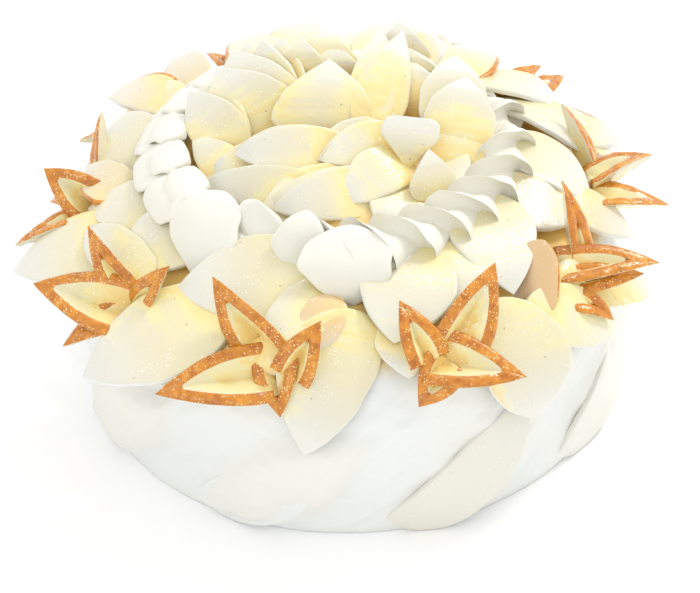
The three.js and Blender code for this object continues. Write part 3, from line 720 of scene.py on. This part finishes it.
def count_of(points):
    """How many points each cell holds, evened out with the cells on its six sides."""
    side, height = (int(long / NEAR_CELL) + SPARE for long in (2 * NEAR_FIELD, NEAR_FIELD))
    held = np.zeros((side, side, height))
    np.add.at(held, cells_of(points, NEAR_FIELD, NEAR_CELL), 1)
    for _ in range(EVENED):
        near = [np.roll(held, step, axis) for axis in (0, 1, 2) for step in (-1, 1)]
        held = (2 * held + sum(near)) / 8
    return held


def nestle(parts, few=0.8, many=6.0, most=0.6):
    """Deepens the painted depth of points that have many points of other slices close to them, as
    an edge has where it lies on the next slice: painted shade and amber glow in the crevice."""
    everything = count_of(np.concatenate([points for points, *_ in parts]))
    for points, _, _, painted in parts:
        cell = cells_of(points, NEAR_FIELD, NEAR_CELL)
        others = everything[cell] - count_of(points)[cell]
        deepen(painted, most * smooth(few, many, others))


# ---------------------------------------------------------------- materials
def linear(code):
    """An sRGB hex colour as linear red, green, blue and alpha."""
    levels = [int(code[k:k + 2], 16) / 255 for k in (0, 2, 4)]
    return tuple(v / 12.92 if v <= 0.04045 else ((v + 0.055) / 1.055) ** 2.4
                 for v in levels) + (1.0,)


def add(tree, kind, links=None, values=None, **settings):
    """Adds a node with its settings, its own values, and links from sockets or attributes."""
    made = tree.nodes.new(kind)
    for name, value in settings.items():
        setattr(made, name, value)
    for name, value in (values or {}).items():
        made.inputs[name].default_value = value
    for name, source in (links or {}).items():
        tree.links.new(source, made.inputs[name])
    return made


def per_mm(size):
    """A pattern's scale, in repeats per metre, from its real size in millimetres."""
    return 1000.0 / size


def blank(name):
    """A new material and its emptied tree of nodes."""
    material = bpy.data.materials.new(name)
    material.use_nodes = True
    material.node_tree.nodes.clear()
    return material, material.node_tree


def whipped_cream(name, light, deep):
    """Dairy cream, whipped and smoothed with a palette knife: two whites in soft clouds, a satin
    surface with fine bubbles, and amber where fruit overhangs it, painted shade and glow in the
    creases, with a faint amber over the side crescents."""
    material, tree = blank(name)
    here = add(tree, "ShaderNodeTexCoord").outputs["Object"]
    juice_and_crevice_shade = add(tree, "ShaderNodeAttribute", attribute_name="depth").outputs["Fac"]
    cloud = add(tree, "ShaderNodeTexNoise", {"Vector": here},
                {"Scale": per_mm(22), "Detail": 3.0}).outputs["Fac"]
    bubbles = add(tree, "ShaderNodeTexNoise", {"Vector": here},
                  {"Scale": per_mm(0.9), "Detail": 2.0}).outputs["Fac"]
    cream = add(tree, "ShaderNodeMix", {0: cloud},
                {6: linear(light), 7: linear(deep)}, data_type="RGBA").outputs[2]
    # painted shade and glow: the cream goes amber with its painted depth where fruit overhangs it
    wet = add(tree, "ShaderNodeMix", {0: juice_and_crevice_shade, 6: cream}, {7: linear(JUICE_AND_CREVICE_GLOW)},
              data_type="RGBA").outputs[2]
    bump = add(tree, "ShaderNodeBump", {"Height": bubbles},
               {"Strength": 0.12, "Distance": 0.0004}).outputs["Normal"]
    shader = add(tree, "ShaderNodeBsdfPrincipled", {"Base Color": wet, "Normal": bump},
                 {"Roughness": 0.5, "IOR": 1.45})
    add(tree, "ShaderNodeOutputMaterial", {"Surface": shader.outputs[0]})
    return material


def glazed_pear(name, coat):
    """Fresh pear cut thin and brushed with clear glaze: pale wet flesh, yellow and amber painted
    where slices crowd together as shade and glow in the crevices, fine dark seeds of vanilla, white
    specks painted as glints, and russet skin with pale lenticels, bright enough to stand also for
    glints, wherever the piece's painted skin says so. Under a cream cover, and at its edges and
    tips painted lighter as painted light, it goes creamy."""
    material, tree = blank(name)
    here = add(tree, "ShaderNodeTexCoord").outputs["Object"]
    painted = {paint: add(tree, "ShaderNodeAttribute", attribute_name=paint).outputs["Fac"]
               for paint in PAINTS}

    # flesh: two ivories in soft clouds, then yellow and amber with depth as painted shade and glow,
    # then ripeness
    cloud = add(tree, "ShaderNodeTexNoise", {"Vector": here},
                {"Scale": per_mm(13), "Detail": 3.0}).outputs["Fac"]
    flesh = add(tree, "ShaderNodeMix", {0: cloud},
                {6: linear(FLESH_LIGHT), 7: linear(FLESH_DEEP)}, data_type="RGBA").outputs[2]
    for tint, start in ((FLESH_YELLOW, 0.0), (FLESH_AMBER, 0.55)):
        reach = add(tree, "ShaderNodeMapRange", {"Value": painted["depth"]},
                    {"From Min": start, "From Max": start + 0.55}).outputs[0]
        flesh = add(tree, "ShaderNodeMix", {0: reach, 6: flesh}, {7: linear(tint)},
                    data_type="RGBA").outputs[2]
    flesh = add(tree, "ShaderNodeMix", {0: painted["ripe"], 6: flesh},
                {7: linear(FLESH_RIPE)}, data_type="RGBA").outputs[2]

    # vanilla seeds: dots 0.6 mm across in three of ten cells of 4.5 mm
    seeds = add(tree, "ShaderNodeTexVoronoi", {"Vector": here}, {"Scale": per_mm(4.5)})
    near = add(tree, "ShaderNodeMapRange", {"Value": seeds.outputs["Distance"]},
               {"From Min": 0.05, "From Max": 0.09, "To Min": 1.0, "To Max": 0.0}).outputs[0]
    pick = add(tree, "ShaderNodeSeparateColor", {0: seeds.outputs["Color"]}).outputs[0]
    some = add(tree, "ShaderNodeMath", {0: pick}, {1: 0.7}, operation="GREATER_THAN").outputs[0]
    seed = add(tree, "ShaderNodeMath", {0: near, 1: some}, operation="MULTIPLY").outputs[0]
    seed = add(tree, "ShaderNodeMath", {0: seed}, {1: 0.55}, operation="MULTIPLY").outputs[0]
    flesh = add(tree, "ShaderNodeMix", {0: seed, 6: flesh}, {7: linear(VANILLA)},
                data_type="RGBA").outputs[2]

    # russet skin: blotches of orange and brown with pale lenticels 0.4 mm across, in patches, also
    # painted glints
    blotch = add(tree, "ShaderNodeTexNoise", {"Vector": here},
                 {"Scale": per_mm(4), "Detail": 8.0, "Roughness": 0.75}).outputs["Fac"]
    blotch = add(tree, "ShaderNodeMapRange", {"Value": blotch},
                 {"From Min": 0.36, "From Max": 0.64}).outputs[0]
    russet = add(tree, "ShaderNodeMix", {0: blotch},
                 {6: linear(SKIN_DARK), 7: linear(SKIN_LIGHT)}, data_type="RGBA").outputs[2]
    lenticel_and_glint_cells = add(tree, "ShaderNodeTexVoronoi", {"Vector": here}, {"Scale": per_mm(0.75)})
    dot = add(tree, "ShaderNodeMapRange", {"Value": lenticel_and_glint_cells.outputs["Distance"]},
              {"From Min": 0.2, "From Max": 0.34, "To Min": 1.0, "To Max": 0.0}).outputs[0]
    which = add(tree, "ShaderNodeSeparateColor", {0: lenticel_and_glint_cells.outputs["Color"]}).outputs[1]
    patch = add(tree, "ShaderNodeTexNoise", {"Vector": here},
                {"Scale": per_mm(9), "Detail": 2.0}).outputs["Fac"]
    often = add(tree, "ShaderNodeMapRange", {"Value": patch},
                {"From Min": 0.4, "From Max": 0.62, "To Min": 0.97, "To Max": 0.3}).outputs[0]
    lit = add(tree, "ShaderNodeMath", {0: which, 1: often}, operation="GREATER_THAN").outputs[0]
    lenticel_glint = add(tree, "ShaderNodeMath", {0: dot, 1: lit}, operation="MULTIPLY").outputs[0]
    russet = add(tree, "ShaderNodeMix", {0: lenticel_glint, 6: russet}, {7: linear(LENTICEL_AND_GLINT)},
                 data_type="RGBA").outputs[2]

    # painted glints: white specks on the flesh for highlights, fewer than the lenticels; then the
    # skin and cover
    seldom = add(tree, "ShaderNodeMapRange", {"Value": patch},
                 {"From Min": 0.5, "From Max": 0.68, "To Min": 0.99, "To Max": 0.75}).outputs[0]
    wink = add(tree, "ShaderNodeMath", {0: which, 1: seldom}, operation="GREATER_THAN").outputs[0]
    glint = add(tree, "ShaderNodeMath", {0: dot, 1: wink}, operation="MULTIPLY").outputs[0]
    flesh = add(tree, "ShaderNodeMix", {0: glint, 6: flesh}, {7: linear(PAINTED_GLINT_WHITE)},
                data_type="RGBA").outputs[2]
    rim = add(tree, "ShaderNodeMapRange", {"Value": painted["skin"]},
              {"From Min": 0.3, "From Max": 0.6}).outputs[0]
    pear = add(tree, "ShaderNodeMix", {0: rim, 6: flesh, 7: russet}, data_type="RGBA").outputs[2]
    # the cream cover, and the painted light on edges and tips, both mixed towards the coat's white
    pear = add(tree, "ShaderNodeMix", {0: painted["veil"], 6: pear}, {7: linear(COAT_LIGHT)},
               data_type="RGBA").outputs[2]

    # glaze: gritty pear cells under a coat that pools in low drops
    grit = add(tree, "ShaderNodeTexNoise", {"Vector": here},
               {"Scale": per_mm(1.0), "Detail": 2.0}).outputs["Fac"]
    drops = add(tree, "ShaderNodeTexNoise", {"Vector": here},
                {"Scale": per_mm(4.0), "Detail": 2.0}).outputs["Fac"]
    fine = add(tree, "ShaderNodeBump", {"Height": grit},
               {"Strength": 0.2, "Distance": 0.0005}).outputs["Normal"]
    wet = add(tree, "ShaderNodeBump", {"Height": drops, "Normal": fine},
              {"Strength": 0.35, "Distance": 0.0012}).outputs["Normal"]
    shader = add(tree, "ShaderNodeBsdfPrincipled",
                 {"Base Color": pear, "Normal": fine, "Coat Normal": wet},
                 {"Roughness": 0.3, "IOR": 1.4, "Coat Weight": coat, "Coat Roughness": 0.09,
                  "Coat IOR": 1.4})
    add(tree, "ShaderNodeOutputMaterial", {"Surface": shader.outputs[0]})
    return material


# painted shade: the coat's whites are the piped cream's made darker and cooler, for the shade on
# the wall
COAT_LIGHT = "E1E4E3"
COAT_DEEP = "E2E2DB"
PIPED_LIGHT = "E9E9E2"
PIPED_DEEP = "E9E5D5"
# painted shade and glow: amber of the cream under the fruit, and faint over the side crescents
JUICE_AND_CREVICE_GLOW = "F0CB78"
FLESH_LIGHT = "DBD6C8"
FLESH_DEEP = "D8CFAE"
# painted shade and glow: the yellow and amber that the flesh takes with its painted depth
FLESH_YELLOW = "EBDFA4"
FLESH_AMBER = "ECC66C"
FLESH_RIPE = "D8AE78"
SKIN_DARK = "AE6116"
SKIN_LIGHT = "E0962C"
# pale lenticels, bright enough to stand also for painted glints on the skin
LENTICEL_AND_GLINT = "FAE3A6"
# painted highlight: the white of the glints painted on the flesh
PAINTED_GLINT_WHITE = "FFFFFF"
VANILLA = "6E4A20"

# the coat and the ring are one cream; the coat's darker copy is painted shade
coat_cream = whipped_cream("dairy_cream_darkened_as_wall_shade", COAT_LIGHT, COAT_DEEP)
ring_cream = whipped_cream("piped_dairy_cream", PIPED_LIGHT, PIPED_DEEP)
pear = glazed_pear("glazed_russet_pear", 0.8)
veiled = glazed_pear("pear_under_cream", 0.1)

# ---------------------------------------------------------------- the cake
ring_parts = cream_ring()
few_leaves = small_leaves()
fruit = [part for members in LEAF_CUTS + FLOWER for part in members] + few_leaves
skirt = [part for members in SKIRT for part in members]
# Painted shade and glow: depth goes yellow and amber where parts lie far under the fruit's top or
# close to other slices, on the fruit, the skirt and the dome's cream.
fruit_top = top_of(fruit + skirt + ring_parts)
crowd(fruit, fruit_top)
crowd(skirt, fruit_top, 2.0, 18.0)
nestle(fruit + skirt)
body = cream_body()
crowd([body], top_of(fruit + skirt + ring_parts, 2), 2.0, 9.0, 64.0)

piece("cream_coat", [body], coat_cream, "whipped_cream", "cream_cake")
piece("piped_ring", ring_parts, ring_cream, "whipped_cream", "cream_ring")
for i, members in enumerate(LEAF_CUTS, 1):
    piece(f"leaf_cuts_{i:02d}", members, pear, "pear_skin", f"leaf_cut_{i:02d}")
for i, members in enumerate(FLOWER, 1):
    piece(f"flower_{i:02d}", members, pear, "pear_flesh", f"flower_slice_{i:02d}")
piece("flower_leaves", few_leaves, pear, "pear_flesh")
for i, members in enumerate(SKIRT, 1):
    piece(f"skirt_{i:02d}", members, pear, "pear_flesh", f"skirt_fan_{i:02d}")
for i in range(SIDE_SLICES):
    piece(f"crescent_{i + 1:02d}", [side_crescent(i)], veiled, "veiled_pear",
          f"side_slice_{i + 1:02d}")

# ---------------------------------------------------------------- floor, light and camera
FLOOR_HALF = 4.0            # metres
floor_mesh = bpy.data.meshes.new("floor")
floor_mesh.from_pydata([(x * FLOOR_HALF, y * FLOOR_HALF, 0)
                        for x, y in ((-1, -1), (1, -1), (1, 1), (-1, 1))], [], [(0, 1, 2, 3)])
floor = bpy.data.objects.new("floor", floor_mesh)
bpy.context.scene.collection.objects.link(floor)
paper = bpy.data.materials.new("matt_white_paper")
paper.use_nodes = True
paper.node_tree.nodes["Principled BSDF"].inputs["Base Color"].default_value = linear("FFFFFF")
paper.node_tree.nodes["Principled BSDF"].inputs["Roughness"].default_value = 0.9
floor_mesh.materials.append(paper)

SKY = 1.04                  # even light from all round
scene = bpy.context.scene
scene.view_settings.view_transform = "Standard"
world = bpy.data.worlds.new("white_studio")
world.use_nodes = True
world.node_tree.nodes["Background"].inputs["Color"].default_value = (1.0, 1.0, 1.0, 1.0)
world.node_tree.nodes["Background"].inputs["Strength"].default_value = SKY
scene.world = world


def softbox(name, spot, aim, size, power, tint):
    """A square area light at a place in metres, turned to a point."""
    lamp = bpy.data.lights.new(name, "AREA")
    lamp.size = size
    lamp.energy = power
    lamp.color = linear(tint)[:3]
    made = bpy.data.objects.new(name, lamp)
    made.location = spot
    made.rotation_euler = (Vector(aim) - Vector(spot)).to_track_quat("-Z", "Y").to_euler()
    scene.collection.objects.link(made)


softbox("key_from_the_right_and_back", (0.7, 0.45, 1.1), (0, 0, 0.06), 0.3, 7.0, "FFFCF6")
softbox("bare_lamp_for_the_glints", (0.1, 0.5, 1.3), (0, 0, 0.06), 0.03, 1.0, "FFFFFF")
softbox("fill_from_the_front_left", (-0.6, -0.9, 0.8), (0, 0, 0.05), 0.5, 1.5, "F4F8FF")

# The camera stands 38 degrees up and 0.7 m away, leaning a little to the left.
CAMERA_UP = 38.0
CAMERA_FAR = 0.7
CAMERA_LEAN = 2.5
CAMERA_AIM = (-0.001, -0.0087, 0.034)
CAMERA_LENS, CAMERA_SENSOR = 97.7, 36.0    # mm
e, lean = np.radians(CAMERA_UP), np.radians(CAMERA_LEAN)
back = np.array([0, -np.cos(e), np.sin(e)])
level = np.array([1.0, 0, 0])
above = np.cross(back, level)
right = level * np.cos(lean) - above * np.sin(lean)
upward = above * np.cos(lean) + level * np.sin(lean)
lens = bpy.data.cameras.new("camera")
lens.sensor_width = CAMERA_SENSOR
lens.lens = CAMERA_LENS
camera = bpy.data.objects.new("camera", lens)
camera.matrix_world = Matrix(np.vstack([
    np.column_stack([right, upward, back, np.array(CAMERA_AIM) + back * CAMERA_FAR]),
    [0, 0, 0, 1]]).tolist())
scene.collection.objects.link(camera)
scene.camera = camera
